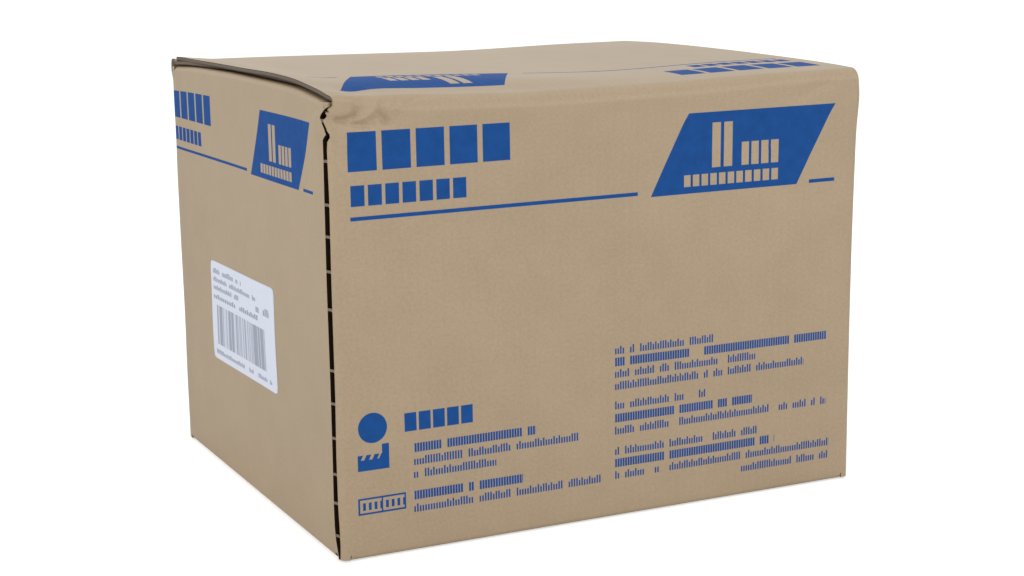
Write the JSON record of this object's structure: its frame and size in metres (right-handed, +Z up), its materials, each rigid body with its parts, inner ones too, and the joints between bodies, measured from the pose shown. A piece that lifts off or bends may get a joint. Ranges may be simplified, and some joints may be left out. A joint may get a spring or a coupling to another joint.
{
  "type": "corrugated carton",
  "caption": "Closed corrugated carton with full-overlap top flaps, the outer one hinged along the front, a cut-crease corner and a paper label on one wall.",
  "frame": {"origin": "middle of the rectangle that the carton stands on, on the floor", "axes": "+Z up, the front wall faces -Y, the labelled wall faces -X, the long side runs along X"},
  "size_m": [0.2181, 0.189, 0.1676],
  "materials": {
    "kraft_board": "uncoated kraft liner, printed in one blue ink",
    "label_paper": "smooth white label paper"
  },
  "bodies": {
    "carton": {"carton_body": "kraft_board", "label": "label_paper"},
    "outer_flap": {"outer_top_flap": "kraft_board"}
  },
  "joints": [
    {"name": "outer_flap_hinge", "type": "hinge", "parent": "carton", "child": "outer_flap", "pos_m": [0, -0.0945, 0.162], "axis": [1, 0, 0], "range_deg": [0, 175]}
  ]
}
